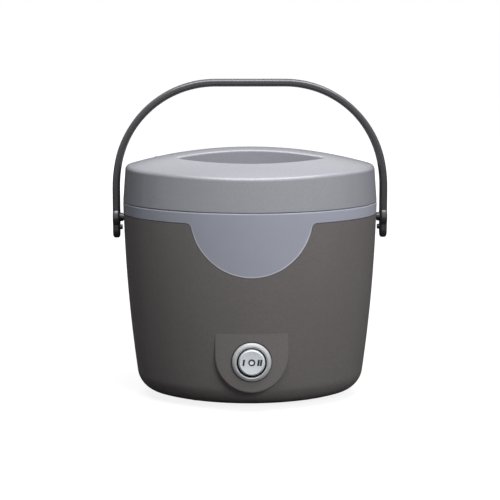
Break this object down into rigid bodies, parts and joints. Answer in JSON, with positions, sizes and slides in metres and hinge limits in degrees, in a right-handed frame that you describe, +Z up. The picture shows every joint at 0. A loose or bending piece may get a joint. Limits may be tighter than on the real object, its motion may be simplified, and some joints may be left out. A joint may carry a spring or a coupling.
{
  "type": "portable food warmer",
  "caption": "Oval bucket-shaped electric food warmer with a lift-off domed lid, a grip sunk in its top, a swinging bail handle, an inner pot and a round rocker switch.",
  "frame": {"origin": "on the table under the middle of the body, at the bottoms of the feet", "axes": "+Z up; the front with the switch faces -Y; +X is to the right seen from the front"},
  "size_m": [0.1634, 0.1212, 0.1887],
  "materials": {
    "lid_grey": "satin moulded light grey",
    "collar_grey": "satin moulded mid grey",
    "shell_taupe": "satin moulded warm dark grey",
    "bail_charcoal": "satin moulded charcoal",
    "switch_silver": "silver lacquer on moulded plastic",
    "switch_black": "moulded black",
    "pot_metal": "drawn, brushed",
    "well_metal": "drawn, satin",
    "blanket": "felted glass fibre",
    "heater_metal": "die cast",
    "element_steel": "drawn sheath",
    "steel": "zinc plated",
    "brass": "stamped",
    "thermostat_phenolic": "moulded phenolic",
    "fuse_body": "drawn case",
    "base_black": "moulded, fine texture",
    "foot_rubber": "moulded",
    "seal_silicone": "moulded silicone",
    "liner_white": "moulded food-safe plastic",
    "pin_black": "black oxide steel",
    "lead_red": "insulated wire",
    "lead_blue": "insulated wire",
    "lead_white": "insulated wire"
  },
  "bodies": {
    "base": {"outer_shell": "shell_taupe", "rim_collar": "collar_grey", "heat_well": "well_metal", "food_pot": "pot_metal", "insulation": "blanket", "heater_plate": "heater_metal", "heating_element": "element_steel", "element_terminal": "brass", "clamp_nuts": "steel", "thermostat": "thermostat_phenolic", "thermal_fuse": "fuse_body", "fuse_clip": "steel", "base_plate": "base_black", "base_screws": "steel", "rubber_feet": "foot_rubber", "switch_bezel": "switch_silver", "switch_body": "switch_black", "switch_terminals": "brass", "power_inlet": "switch_black", "inlet_pins": "brass", "pivot_pin_right": "pin_black", "pivot_pin_left": "pin_black", "pivot_washers": "steel", "live_lead": "lead_red", "high_lead": "lead_red", "thermostat_lead": "lead_white", "warm_lead": "lead_white", "neutral_lead": "lead_blue"},
    "lid": {"lid_cover": "lid_grey", "lid_liner": "liner_white", "lid_seal": "seal_silicone", "steam_vent": "switch_black"},
    "bail": {"bail_handle": "bail_charcoal"},
    "rocker": {"switch_rocker": "switch_silver"}
  },
  "joints": [
    {"name": "bail_swing", "type": "hinge", "parent": "base", "child": "bail", "pos_m": [0, 0, 0.1067], "axis": [1, 0, 0], "range_deg": [-128, 128]},
    {"name": "lid_lift", "type": "slide", "parent": "base", "child": "lid", "axis": [0, 0, 1], "range_m": [0, 0.008]},
    {"name": "rocker_tilt", "type": "hinge", "parent": "base", "child": "rocker", "pos_m": [0, -0.05415, 0.0302], "axis": [0, 0, 1], "range_deg": [-8, 8]}
  ]
}
